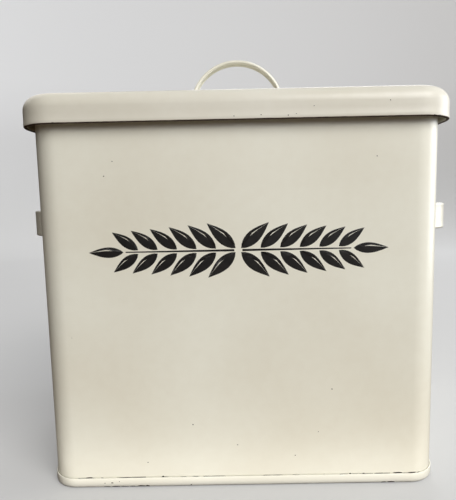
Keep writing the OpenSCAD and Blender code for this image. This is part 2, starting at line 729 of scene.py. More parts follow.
@dataclass(frozen=True)
class MattPaint:
    """Matt emulsion on the studio's floor, paler up its walls."""

    name: str
    floor: str
    wall: str
    low: float = 0.1
    high: float = 1.0
    glow: float = 0.16
    cloud: float = 0.625

    def material(self) -> bpy.types.Material:
        """Builds the paint.

        Returns:
            The material. To the eye it is plain, pale and dull, with barely visible clouds. Its faint
            glow stands in for the light that the room throws back.
        """
        made, tree, place = start_finish(self.name)
        height = add_node(tree, "ShaderNodeSeparateXYZ", None, {"Vector": place}).outputs["Z"]
        climb = add_node(
            tree,
            "ShaderNodeMapRange",
            {"interpolation_type": "SMOOTHSTEP", "From Min": self.low, "From Max": self.high},
            {"Value": height},
        )
        cloud = add_node(
            tree, "ShaderNodeTexNoise", {"Scale": 1 / self.cloud, "Detail": 3.0}, {"Vector": place}
        )
        share = add_node(
            tree,
            "ShaderNodeMath",
            {"operation": "MULTIPLY_ADD", 1: 0.1},
            {0: cloud.outputs["Fac"], 2: climb.outputs["Result"]},
        )
        colour = add_node(
            tree,
            "ShaderNodeMix",
            {"data_type": "RGBA", 6: linear(self.floor), 7: linear(self.wall)},
            {0: share.outputs[0]},
        )
        shader = add_node(
            tree,
            "ShaderNodeBsdfPrincipled",
            {
                "Roughness": 0.9,
                "Specular IOR Level": 0.0,
                "Emission Color": linear("#FFFFFF"),
                "Emission Strength": self.glow,
            },
            {"Base Color": colour.outputs[2]},
        )
        add_node(tree, "ShaderNodeOutputMaterial", None, {"Surface": shader.outputs["BSDF"]})
        return made


# ---------------------------------------------------------------- shells


SEAM_MERGE = 0.001 * MM


class Body(Enum):
    """Bodies of the frame that pieces ride on."""

    BIN = "bin"
    LID = "lid"


def fit_piece(
    piece: bpy.types.Object, body: Body, slot: str, finish: bpy.types.Material, *stands_for: str
) -> bpy.types.Object:
    """Gives a piece its finish and its body, and hides the nodes that it stands for.

    Args:
        piece: The piece.
        body: The body that it rides on.
        slot: Name of the material slot that its finish belongs to; not used.
        finish: Its material.
        stands_for: The nodes that it replaces.

    Returns:
        The same piece.
    """
    piece.data.materials.append(finish)
    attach(piece, body.value)
    if stands_for:
        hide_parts(*stands_for)
    LOG.info("%s: %d faces on %s", piece.name, len(piece.data.polygons), body.value)
    return piece


@dataclass(frozen=True)
class Skin:
    """Outer surface of a shell, as a map that small pieces are laid on.

    s runs round the bin from the middle of the front, to the right where it is positive. t runs up
    the surface from its lower edge, round the edge first.
    """

    plan: Plan
    offset: float
    edge: float
    round: float
    slack: Callable[[Station, float], float] | None = None

    def station(self, s: float) -> Station:
        """Station at a distance round the bin.

        Args:
            s: Distance from the middle of the front, to the right where it is positive.

        Returns:
            The station, on the front, a front corner or a side.
        """
        core_x, core_y = self.plan.core
        side, reach = math.copysign(1.0, s), abs(s)
        if reach <= core_x:
            return Station((s, -core_y), (0.0, -1.0), 1 - (s / core_x) ** SLACK_POWER)
        turn = (reach - core_x) / self.plan.corner
        if turn <= math.pi / 2:
            out = (side * math.sin(turn), -math.cos(turn))
            return Station((side * core_x, -core_y), out, 0.0)
        along = reach - core_x - self.plan.corner * math.pi / 2 - core_y
        return Station((side * core_x, along), (side, 0.0), 1 - (along / core_y) ** SLACK_POWER)

    def at(self, s: float, t: float, lift: float) -> Vector:
        """Place of a point of a small piece.

        Args:
            s: Distance round the bin.
            t: Distance up the surface.
            lift: Height above the surface.

        Returns:
            The place in the frame.
        """
        station = self.station(s)
        quarter = self.round * math.pi / 2
        if t < quarter:
            a = t / self.round - math.pi / 2
            reach = self.round + lift
            offset = self.offset - self.round + reach * math.cos(a)
            height = self.edge + self.round + reach * math.sin(a)
        else:
            offset, height = self.offset + lift, self.edge + self.round + t - quarter
        if self.slack is not None:
            offset += self.slack(station, height)
        return self.plan.place(station, offset, height)


def lay_lens(
    mesh: bmesh.types.BMesh,
    skin: Skin,
    outline: Sequence[Point],
    middle: Point,
    rise: float,
    sunk: float = 0.04 * MM,
    shares: Sequence[float] = (0.5, 0.9, 0.97),
) -> None:
    """Lays a thin closed lens on a skin, such as a chip or a stroke of fired enamel.

    Args:
        mesh: The mesh that gets it.
        skin: The surface that it lies on.
        outline: Its outline in s and t, in order.
        middle: A point inside the outline, in s and t.
        rise: How far its face stands above the surface.
        sunk: How far its edge lies below the surface; its back lies twice as deep.
        shares: Sizes of the rings between the middle and the outline.
    """
    count = len(outline)
    rim = [mesh.verts.new(skin.at(s, t, -sunk)) for s, t in outline]
    for face_lift in (rise, -2 * sunk):
        centre = mesh.verts.new(skin.at(*middle, face_lift))
        before: list[bmesh.types.BMVert] = []
        for share in (*shares, 1.0):
            ring = rim
            if share < 1:
                ring = [
                    mesh.verts.new(
                        skin.at(
                            middle[0] + (s - middle[0]) * share,
                            middle[1] + (t - middle[1]) * share,
                            face_lift,
                        )
                    )
                    for s, t in outline
                ]
            for i in range(count):
                j = (i + 1) % count
                if before:
                    mesh.faces.new((before[i], before[j], ring[j], ring[i]))
                else:
                    mesh.faces.new((centre, ring[j], ring[i]))
            before = ring


def tray(
    name: str, plan: Plan, profile: Sequence[Point], slack: Callable[[Vector], float]
) -> bpy.types.Object:
    """Sweeps an open profile round the bin and closes both of its ends with a panel over the core.

    Args:
        name: The piece's name.
        plan: Plan of the bin.
        profile: Offsets and heights, from the core rectangle out and back to it.
        slack: How far the sheet is raised at a place.

    Returns:
        The closed shell.
    """
    mesh = bmesh.new()
    rings: list[list[Vector]] = []
    for station in plan.stations():
        ring = [plan.place(station, offset, height) for offset, height in profile]
        for place in ring:
            place.z += slack(place)
        rings.append(ring)
    skin_rings(mesh, rings, loop=True, closed=False)
    core_x, core_y = plan.core
    count_x, count_y = plan.counts()
    for height in (profile[0][1], profile[-1][1]):
        grid: list[list[bmesh.types.BMVert]] = []
        for i in range(count_x + 1):
            grid.append([])
            for j in range(count_y + 1):
                place = Vector(
                    (core_x * (2 * i / count_x - 1), core_y * (2 * j / count_y - 1), height)
                )
                place.z += slack(place)
                grid[i].append(mesh.verts.new(place))
        for i in range(count_x):
            for j in range(count_y):
                mesh.faces.new((grid[i][j], grid[i + 1][j], grid[i + 1][j + 1], grid[i][j + 1]))
    return make_piece(name, mesh, merge=SEAM_MERGE)


@dataclass(frozen=True)
class Walls:
    """Wrap of the four walls, rolled outwards at the top round the rim wire and lapped at the back."""

    plan: Plan
    sheet: Sheet
    foot: float
    top: float
    pins: tuple[Vector, ...]
    curl_in: float = 1.6 * MM
    curl_end: float = -112
    curl_steps: int = 18
    lap_half: float = 4.5 * MM
    lap_rise: float = 0.7 * MM
    lap_sunk: float = 0.3 * MM
    lap_edge: float = 0.5 * MM
    lap_slope: float = 1.6 * MM
    lap_start: float = 6.3 * MM
    row: float = 7 * MM
    band_hold: float = 8 * MM
    rim_hold: float = 6 * MM
    loosen: float = 40 * MM

    @property
    def curl_height(self) -> float:
        """Height of the axis of the rolled rim."""
        return self.top - self.curl_in - self.sheet.gauge

    def slack(self, station: Station, height: float) -> float:
        """How far the wall stands out of true: nothing at corners, rim, band and rivets.

        Args:
            station: Where on the way round.
            height: Height on the wall.

        Returns:
            The distance outwards.
        """
        if not station.slack:
            return 0.0
        above_band = ease((height - self.foot - self.band_hold) / self.loosen)
        below_rim = ease((self.top - height - self.rim_hold) / self.loosen)
        place = self.plan.place(station, 0.0, height)
        free = above_band * below_rim
        return self.sheet.slack(place) * station.slack * free * held_flat(place, self.pins)

    def skin(self) -> Skin:
        """Outer surface of the walls."""
        return Skin(self.plan, 0.0, self.foot, 0.0, self.slack)

    def profile(self) -> list[Point]:
        """Closed outline of the sheet.

        Returns:
            Offsets and heights up the outer face, round the rolled rim and down the inner face.
        """
        gauge, high = self.sheet.gauge, self.curl_height
        axis = (self.curl_in, high)
        return join_runs(
            run((0.0, self.foot), (0.0, high), self.row),
            arc(axis, self.curl_in, 180, self.curl_end, self.curl_steps),
            arc(axis, self.curl_in + gauge, self.curl_end, 180, self.curl_steps),
            run((-gauge, high), (-gauge, self.foot), self.row),
        )

    def build(self, enamel: bpy.types.Material) -> None:
        """Builds the walls with their lap seam.

        Args:
            enamel: Finish of the walls.
        """
        mesh = bmesh.new()
        profile = self.profile()
        rings: list[list[Vector]] = []
        for station in self.plan.stations():
            rings.append(
                [self.plan.place(station, o + self.slack(station, z), z) for o, z in profile]
            )
        skin_rings(mesh, rings, loop=True, closed=True)
        self._lap(mesh)
        fit_piece(make_piece("wall_shell", mesh), Body.BIN, "body_enamel", enamel, "body_wall")

    def _lap(self, mesh: bmesh.types.BMesh) -> None:
        """Adds the overlapping edge of the sheet up the middle of the back wall.

        Args:
            mesh: The mesh of the walls.
        """
        low = self.foot + self.lap_start
        high = self.curl_height - self.curl_in - self.sheet.gauge - self.lap_sunk
        core_y = self.plan.core[1]
        edge, slope = self.lap_edge, self.lap_slope
        across = join_runs(
            [(-self.lap_half, -self.lap_sunk)],
            arc((-self.lap_half + edge, self.lap_rise - edge), edge, 180, 90, 4),
            arc((self.lap_half - slope, self.lap_rise - slope), slope, 90, 20, 5),
            [(self.lap_half, -self.lap_sunk)],
        )
        rings: list[list[Vector]] = []
        for _, z in run((0.0, low), (0.0, high), self.row):
            ring: list[Vector] = []
            for x, o in across:
                station = Station((x, core_y), (0.0, 1.0), 1.0)
                ring.append(self.plan.place(station, o + self.slack(station, z), z))
            rings.append(ring)
        skin_rings(mesh, rings, loop=False, closed=True, caps=True)


@dataclass(frozen=True)
class Base:
    """Base pan: raised floor, rounded foot and the band that wraps the walls."""

    plan: Plan
    sheet: Sheet
    band_top: float
    proud: float = 1.2 * MM
    round: float = 2.2 * MM
    rise: float = 3.0 * MM
    nest: float = 0.2 * MM
    lip: float = 0.45 * MM
    sag: float = 0.35 * MM
    stiff_edge: float = 3 * MM
    flat_edge: float = 8 * MM

    def slack(self, place: Vector) -> float:
        """How far the floor panel sags and waves, while the foot and the band stay true.

        Args:
            place: A place on the pan.

        Returns:
            The distance upwards.
        """
        inner_x = self.plan.half_x - self.stiff_edge
        inner_y = self.plan.half_y - self.stiff_edge
        if abs(place.x) >= inner_x or abs(place.y) >= inner_y:
            return 0.0
        share_x = min(1.0, abs(place.x) / (self.plan.half_x - self.flat_edge))
        share_y = min(1.0, abs(place.y) / (self.plan.half_y - self.flat_edge))
        free = (1 - share_x**4) * (1 - share_y**4)
        return free * (self.sheet.slack(Vector((place.x, place.y, 0.0))) - self.sag)

    def skin(self) -> Skin:
        """Outer surface of the foot and the band."""
        return Skin(self.plan, self.proud, 0.0, self.round)

    def build(self, enamel: bpy.types.Material) -> None:
        """Builds the base pan.

        Args:
            enamel: Finish of the base pan.
        """
        gauge = self.sheet.gauge
        core = -self.plan.corner
        channel = -gauge - self.nest
        leg = channel - gauge
        axis = (self.proud - self.round, self.round)
        inside = self.round - gauge
        profile = join_runs(
            run((core, self.rise + gauge), (channel - 0.4 * MM, self.rise + gauge), 5 * MM),
            [(channel, self.rise + gauge - 0.4 * MM), (channel, self.round - inside * 0.98)],
            arc(axis, inside, -95, 0, 8),
            [(self.nest, self.band_top - self.lip)],
            arc((self.proud - self.lip, self.band_top - self.lip), self.lip, 165, 0, 6),
            run((self.proud, self.band_top - self.lip), (self.proud, self.round), 2 * MM),
            arc(axis, self.round, 0, -90, 8),
            arc((leg + 0.5 * MM, 0.5 * MM), 0.5 * MM, -90, -180, 3),
            run((leg, 0.5 * MM), (leg, self.rise), 1.3 * MM),
            run((leg, self.rise), (core, self.rise), 5 * MM),
        )
        piece = tray("base_shell", self.plan, profile, self.slack)
        fit_piece(piece, Body.BIN, "base_enamel", enamel, "base_pan")


@dataclass(frozen=True)
class Lid:
    """Pressed lid: flat top, rounded shoulder, skirt and a hem folded inwards along the lower edge."""

    plan: Plan
    sheet: Sheet
    edge: float
    top: float
    pins: tuple[Vector, ...]
    overhang: float = LID_OVERHANG
    shoulder: float = 12 * MM
    hem: float = 2.4 * MM
    hem_height: float = 3.2 * MM
    bead: float = 0.15 * MM
    crown: float = 0.2 * MM

    def slack(self, place: Vector) -> float:
        """How far the flat top is crowned and waves, while the shoulder and the skirt stay true.

        Args:
            place: A place on the lid.

        Returns:
            The distance upwards.
        """
        if place.z <= self.top - self.sheet.gauge * 1.01:
            return 0.0
        reach_x = self.plan.half_x + self.overhang - self.shoulder
        reach_y = self.plan.half_y + self.overhang - self.shoulder
        share_x, share_y = min(1.0, abs(place.x) / reach_x), min(1.0, abs(place.y) / reach_y)
        free = (1 - share_x**4) * (1 - share_y**4)
        flat = Vector((place.x, place.y, self.top))
        held = held_flat(flat, [Vector((pin.x, pin.y, self.top)) for pin in self.pins])
        return free * held * (self.crown + self.sheet.slack(flat))

    def skin(self) -> Skin:
        """Outer surface of the skirt, from its lower edge up."""
        return Skin(self.plan, self.overhang + self.bead, self.edge, self.hem / 2)

    def build(self, enamel: bpy.types.Material) -> None:
        """Builds the lid.

        Args:
            enamel: Finish of the lid.
        """
        gauge = self.sheet.gauge
        core = -self.plan.corner
        axis = (self.overhang - self.shoulder, self.top - self.shoulder)
        round_hem = self.hem / 2
        hem_axis = (self.overhang + self.bead - round_hem, self.edge + round_hem)
        hem_top = self.edge + self.hem_height
        inner = self.overhang - gauge
        profile = join_runs(
            run((core, self.top), (axis[0], self.top), 4.5 * MM),
            arc(axis, self.shoulder, 90, 0, 14),
            run((self.overhang, axis[1]), (self.overhang, hem_top + 0.9 * MM), 5 * MM),
            [(self.overhang + self.bead * 0.8, hem_top + 0.1 * MM)],
            [(self.overhang + self.bead, hem_top - 0.6 * MM)],
            arc(hem_axis, round_hem, 0, -180, 10),
            [(hem_axis[0] - round_hem, hem_top - 0.3 * MM)],
            [(hem_axis[0] - round_hem + 0.3 * MM, hem_top), (inner, hem_top + 0.1 * MM)],
            run((inner, hem_top + 0.4 * MM), (inner, axis[1]), 5 * MM),
            arc(axis, self.shoulder - gauge, 0, 90, 14),
            run((axis[0], self.top - gauge), (core, self.top - gauge), 4.5 * MM),
        )
        piece = tray("lid_shell", self.plan, profile, self.slack)
        fit_piece(piece, Body.LID, "lid_enamel", enamel, "lid_pan")


@dataclass(frozen=True)
class StrapHandle:
    """Strap bent to a half-round bow on two riveted feet, with both long edges curled inwards."""

    radius: float
    rise: float
    width: float
    rivet_spread: float
    gauge: float = 1.4 * MM
    bead: float = 1.5 * MM
    bead_proud: float = 0.15 * MM
    bend: float = 3.0 * MM
    foot: float = 14 * MM
    foot_corner: float = 4.5 * MM
    rivet_inset: float = 8 * MM
    head: float = 3.8 * MM
    head_rise: float = 1.7 * MM
    shank: float = 2.0 * MM
    tail: float = 3.1 * MM
    tail_rise: float = 0.9 * MM
    flow: float = 0.45 * MM
    sheet: float = 1.0 * MM
    rivet_steps: int = 40
    rivet_merge: float = 0.002 * MM

    def section(self, width: float, curl: float, swell: float = 1.0) -> list[Point]:
        """Outline across the strap.

        Args:
            width: Width of the strap there.
            curl: How far its edges are curled, from 0 on the foot to 1 on the bow.
            swell: Share of the full thickness, for the rounded end of a foot.

        Returns:
            Points across the width and through the thickness, from the inner face.
        """
        half = self.gauge / 2
        bead = half + curl * (self.bead - half)
        through = half + curl * (self.gauge + self.bead_proud - self.bead - half)
        across = width / 2 - bead
        edge = arc((across, through), bead, 90 + 26 * curl, -90 - 88 * curl, 12)
        inner = edge[-1][0]
        outer = edge[0][0]
        right = [(outer / 2, self.gauge), *edge, (inner / 2, 0.0)]
        outline = right + [(-u, v) for u, v in reversed(right)]
        return [(u, half + (v - half) * swell) for u, v in outline]

    def path(self) -> list[tuple[Point, Point, float, float, float]]:
        """Rings along the strap from the end of its right foot to the top of the bow.

        Returns:
            For each ring a point of the inner face, the way out through the thickness, the width,
            the curl and the swell.
        """
        found: list[tuple[Point, Point, float, float, float]] = []
        neck = self.gauge + self.bend
        start = self.radius + self.bend
        corner, half = self.foot_corner, self.gauge / 2
        for step in (0.0, 0.06, 0.16, 0.3, 0.5, 0.75, 1.0):
            depth = corner * (1 - math.cos(step * math.pi / 2))
            width = self.width - 2 * corner * (1 - math.sin(step * math.pi / 2))
            swell = math.sqrt(max(0.12, 1 - max(0.0, 1 - depth / half) ** 2))
            found.append(((start + self.foot - depth, 0.0), (0.0, 1.0), width, 0.0, swell))
        found.append(((start, 0.0), (0.0, 1.0), self.width, 0.0, 1.0))
        for i in range(1, 9):
            turn = math.pi / 2 * i / 8
            way = (math.sin(turn), math.cos(turn))
            reach = self.bend + self.gauge
            point = (start - way[0] * reach, neck - way[1] * reach)
            found.append((point, way, self.width, ease(i / 8), 1.0))
        inner = self.radius - self.gauge
        count = 34
        for i in range(count + 1):
            turn = math.pi / 2 * i / count
            way = (math.cos(turn), math.sin(turn))
            point = (inner * way[0], self.rise + inner * way[1])
            found.append((point, way, self.width, 1.0, 1.0))
        return found

    def strap(self, mesh: bmesh.types.BMesh, seat: Matrix) -> None:
        """Adds the strap to a mesh.

        Args:
            mesh: The mesh that gets it.
            seat: Where the handle's own plane stands in the frame.
        """
        right = self.path()
        left = [((-p[0], p[1]), (-n[0], n[1]), *rest) for p, n, *rest in reversed(right[:-1])]
        rings: list[list[Vector]] = []
        for point, way, width, curl, swell in right + left:
            rings.append(
                [
                    seat @ Vector((point[0] + way[0] * v, u, point[1] + way[1] * v))
                    for u, v in self.section(width, curl, swell)
                ]
            )
        skin_rings(mesh, rings, loop=False, closed=True, caps=True)

    def rivet(self, mesh: bmesh.types.BMesh, seat: Matrix) -> None:
        """Adds one rivet: an enamelled dome with a fillet round it, its shank and its flattened tail.

        Args:
            mesh: The mesh that gets it.
            seat: Where the rivet's axis stands in the frame.
        """
        flow, steps = self.flow, self.rivet_steps
        dome_radius = (self.head**2 + self.head_rise**2) / (2 * self.head_rise)
        spread = math.degrees(math.asin(self.head / dome_radius))
        low = self.gauge + self.head_rise - dome_radius
        tail_low = -self.sheet - self.tail_rise
        profile = join_runs(
            arc((0.0, low), dome_radius, 90, 90 - spread * 0.97, 7),
            [(self.head + flow * 0.3, self.gauge + 0.12 * MM)],
            [(self.head + flow, self.gauge - 0.04 * MM)],
            [(self.shank, self.gauge - 0.3 * MM), (self.shank, 0.3 * MM - self.sheet)],
            [(self.tail, 0.1 * MM - self.sheet)],
            arc((self.tail - 0.5 * MM, tail_low + 0.5 * MM), 0.5 * MM, 0, -90, 4),
            [(0.0, tail_low)],
        )
        turns = [2 * math.pi * i / steps for i in range(steps)]
        rings = [
            [seat @ Vector((r * math.cos(a), r * math.sin(a), z)) for r, z in profile] for a in turns
        ]
        skin_rings(mesh, rings, loop=True, closed=False)

    @property
    def reach(self) -> float:
        """Distance from the middle of the handle to the rivets of one foot."""
        return self.radius + self.bend + self.rivet_inset

    def feet(self, seat: Matrix) -> list[Vector]:
        """Places in the frame of the middles of both feet's rivets."""
        return [seat @ Vector((side * self.reach, 0.0, 0.0)) for side in (-1, 1)]

    def rivets(self, mesh: bmesh.types.BMesh, seat: Matrix) -> None:
        """Adds all the rivets of one handle.

        Args:
            mesh: The mesh that gets them.
            seat: Where the handle's own plane stands in the frame.
        """
        sides = (-1, 1) if self.rivet_spread else (0,)
        for foot in (-1, 1):
            for side in sides:
                place = Vector((foot * self.reach, side * self.rivet_spread / 2, 0.0))
                self.rivet(mesh, seat @ Matrix.Translation(place))

    def build(
        self,
        name: str,
        body: Body,
        seat: Matrix,
        enamel: bpy.types.Material,
        rivet_enamel: bpy.types.Material,
    ) -> None:
        """Builds one handle and its rivets.

        Args:
            name: Name of the handle's node.
            body: The body that it rides on.
            seat: Where the handle's own plane stands in the frame.
            enamel: Finish of the strap.
            rivet_enamel: Finish of the rivets.
        """
        strap = bmesh.new()
        self.strap(strap, seat)
        fit_piece(make_piece(f"{name}_strap", strap), body, "handle_enamel", enamel, name)
        rivets = bmesh.new()
        self.rivets(rivets, seat)
        piece = make_piece(f"{name}_rivet_domes", rivets, merge=self.rivet_merge)
        fit_piece(piece, body, "rivet_enamel", rivet_enamel, f"{name}_rivets")


# ---------------------------------------------------------------- decoration and wear


@dataclass(frozen=True)
class WheatMotif:
    """Two ears of wheat that meet in the middle of the front, fired on in black enamel."""

    skin: Skin
    middle: float = 195 * MM
    length: float = 117 * MM
    pairs: int = 6
    first: float = 2 * MM
    pitch: float = 15.2 * MM
    grain: float = 30 * MM
    plump: float = 10.2 * MM
    spread: float = 42
    rise: float = 0.04 * MM

    def lobe(self, root: Point, angle: float, size: float, low: float, high: float) -> list[Point]:
        """Outline of one lobe of a grain, pointed at both ends.

        Args:
            root: Foot of the grain.
            angle: Way that the grain points, in degrees.
            size: Share of the full size.
            low: How far the lobe's lower edge bulges, as a share of half the width.
            high: How far its upper edge bulges.

        Returns:
            The outline in s and t.
        """
        count = 12
        along, across = math.cos(math.radians(angle)), math.sin(math.radians(angle))
        outline: list[Point] = []
        for bulge, order in ((low, range(count)), (high, range(count, 0, -1))):
            for i in order:
                t = i / count
                u = t * self.grain * size
                v = bulge * self.plump / 2 * size * math.sin(math.pi * t**0.8)
                outline.append((root[0] + u * along - v * across, root[1] + u * across + v * along))
        return outline

    def grains(self) -> list[list[Point]]:
        """Outlines of every lobe of the ear that points right.

        Returns:
            Two lobes for each grain, with the bare slit of its fold between them.
        """
        found: list[list[Point]] = []
        for k in range(self.pairs):
            size = 1 - 0.035 * k
            for side in (-1, 1):
                root = (self.first + self.pitch * k, self.middle + side * 1.4 * MM)
                angle = side * self.spread * (1 - 0.03 * k)
                found.append(self.lobe(root, angle, size, -1.0, 0.42))
                found.append(self.lobe(root, angle, size, 0.66, 1.0))
        tip = (self.length - self.grain * 0.92, self.middle)
        found.append(self.lobe(tip, 0.0, 0.92, -0.9, 0.3))
        found.append(self.lobe(tip, 0.0, 0.92, 0.52, 0.9))
        return found

    def stem(self) -> list[Point]:
        """Outline of the stem of the ear that points right.

        Returns:
            The outline in s and t.
        """
        thick, end = 0.9 * MM, self.length - self.grain * 0.95
        return [
            *run((2.5 * MM, self.middle - thick), (end, self.middle - thick * 0.5), 8 * MM),
            *run((end, self.middle + thick * 0.5), (2.5 * MM, self.middle + thick), 8 * MM),
        ]

    def build(self, black: bpy.types.Material) -> None:
        """Builds the motif.

        Args:
            black: Its enamel.
        """
        mesh = bmesh.new()
        for outline in (*self.grains(), self.stem()):
            for side in (-1, 1):
                placed = [(side * s, t - self.skin.edge) for s, t in outline]
                middle = (
                    sum(s for s, _ in placed) / len(placed),
                    sum(t for _, t in placed) / len(placed),
                )
                lay_lens(mesh, self.skin, placed, middle, self.rise)
        piece = make_piece("wheat_motif", mesh, merge=SEAM_MERGE)
        fit_piece(piece, Body.BIN, "motif_enamel", black)


@dataclass(frozen=True)
class Chip:
    """A chip or a speck: its place on a skin, and its size along and up, all in millimetres."""

    s: float
    t: float
    wide: float
    tall: float


@dataclass(frozen=True)
class Wearing:
    """Chips in one piece's enamel that lay its black ground coat bare."""

    name: str
    skin: Skin
    body: Body
    slot: str
    seed: int
    chips: tuple[Chip, ...]
    rise: float = 0.05 * MM
    corners: int = 14
    ragged: float = 0.38
    lobes: float = 1.7
    merge: float = 0.0005 * MM

    def build(self, bare: bpy.types.Material) -> None:
        """Builds the chips as one piece.

        Args:
            bare: Finish of the bared ground coat.
        """
        draw = random.Random(self.seed)
        mesh = bmesh.new()
        for chip in self.chips:
            outline = self.outline(chip, draw.uniform(0, 20))
            middle = (chip.s * MM, max(0.05, chip.t) * MM)
            lay_lens(mesh, self.skin, outline, middle, self.rise)
        piece = make_piece(self.name, mesh, merge=self.merge)
        fit_piece(piece, self.body, self.slot, bare)

    def outline(self, chip: Chip, phase: float) -> list[Point]:
        """Ragged outline of one chip.

        Args:
            chip: The chip.
            phase: Where its raggedness is taken from.

        Returns:
            The outline in s and t.
        """
        found: list[Point] = []
        for i in range(self.corners):
            a = 2 * math.pi * i / self.corners
            way = Vector((math.cos(a) * self.lobes, math.sin(a) * self.lobes, phase))
            ragged = 1 + self.ragged * noise.noise(way)
            s = chip.s + chip.wide / 2 * ragged * math.cos(a)
            t = chip.t + chip.tall / 2 * ragged * math.sin(a)
            found.append((s * MM, max(0.02, t) * MM))
        return found


def scatter(seed: int, count: int, s: Point, t: Point, size: Point, stretch: float) -> list[Chip]:
    """Chips at random places of a stretch of a skin.

    Args:
        seed: Seed of the draws.
        count: Number of chips.
        s: Least and greatest place along, in millimetres.
        t: Least and greatest place up.
        size: Least and greatest height of a chip.
        stretch: How much longer than high a chip may be.

    Returns:
        The chips.
    """
    draw = random.Random(seed)
    found: list[Chip] = []
    for _ in range(count):
        tall = draw.uniform(*size)
        wide = tall * draw.uniform(1.0, stretch)
        found.append(Chip(draw.uniform(*s), draw.uniform(*t), wide, tall))
    return found


def foot_wear(skin: Skin) -> Wearing:
    """Chips along the rounded foot: a row at the left, two at the right.

    Args:
        skin: Skin of the foot and the band.

    Returns:
        The chips.
    """
    row = (
        Chip(-112, 1.9, 5.5, 1.3),
        Chip(-105, 1.9, 7, 1.7),
        Chip(-98, 1.8, 7, 1.5),
        Chip(-91, 1.8, 6, 1.3),
        Chip(-84, 2.0, 8, 2.0),
        Chip(-79, 2.1, 4, 1.9),
        Chip(115.5, 2.0, 4.5, 1.7),
        Chip(121, 2.1, 6.5, 2.1),
    )
    band = (Chip(-108, 5.6, 2.2, 0.7), Chip(-114, 5.4, 1.2, 0.5), Chip(-102, 6.7, 0.9, 0.4))
    return Wearing("foot_chips", skin, Body.BIN, "base_enamel", 5, row + band)


def seam_wear(skin: Skin) -> Wearing:
    """Dark marks where the walls meet the band, and a few specks on the front.

    Args:
        skin: Skin of the walls.

    Returns:
        The marks and specks.
    """
    marks = (
        Chip(-127, 6.0, 5.5, 0.9),
        Chip(-97, 5.8, 12, 0.5),
        Chip(-86, 5.8, 14, 0.6),
        Chip(-66, 6.1, 1.8, 1.2),
        Chip(88, 6.0, 1.5, 1.0),
        Chip(99, 6.0, 1.6, 0.9),
        Chip(112, 5.8, 8, 0.6),
        Chip(127, 6.0, 9, 1.1),
        Chip(139, 5.9, 7, 0.9),
    )
    line = scatter(21, 34, (-136, 146), (5.6, 5.8), (0.22, 0.42), 34)
    specks = (
        Chip(-102, 251.6, 1.0, 0.9),
        Chip(-95, 262.6, 0.8, 0.7),
        Chip(107, 262.6, 0.8, 0.8),
        Chip(-40, 50.6, 1.1, 1.0),
        Chip(-78, 18.6, 0.8, 0.8),
        Chip(73, 78.6, 0.9, 0.8),
        Chip(62, 42.6, 0.8, 0.7),
        Chip(-4, 32.6, 0.9, 0.8),
        Chip(43, 22.6, 0.8, 0.8),
    )
    return Wearing("seam_marks", skin, Body.BIN, "body_enamel", 7, (*marks, *line, *specks))


def lid_wear(skin: Skin) -> Wearing:
    """Chips at both ends of the lid's lower edge, and specks on its skirt.

    Args:
        skin: Skin of the lid's skirt.

    Returns:
        The chips and specks.
    """
    ends = (Chip(-135, 1.2, 3.0, 1.0), Chip(145, 1.3, 2.2, 1.0), Chip(148.5, 1.0, 2.6, 1.1))
    specks = (
        Chip(-1, 3.4, 0.8, 0.7),
        Chip(19, 3.9, 0.9, 0.7),
        Chip(39, 3.2, 0.8, 0.8),
        Chip(45, 4.2, 0.7, 0.6),
        Chip(58, 9.5, 0.7, 0.7),
        Chip(114, 12.5, 0.8, 0.7),
    )
    return Wearing("lid_chips", skin, Body.LID, "lid_enamel", 11, ends + specks)


# ---------------------------------------------------------------- studio


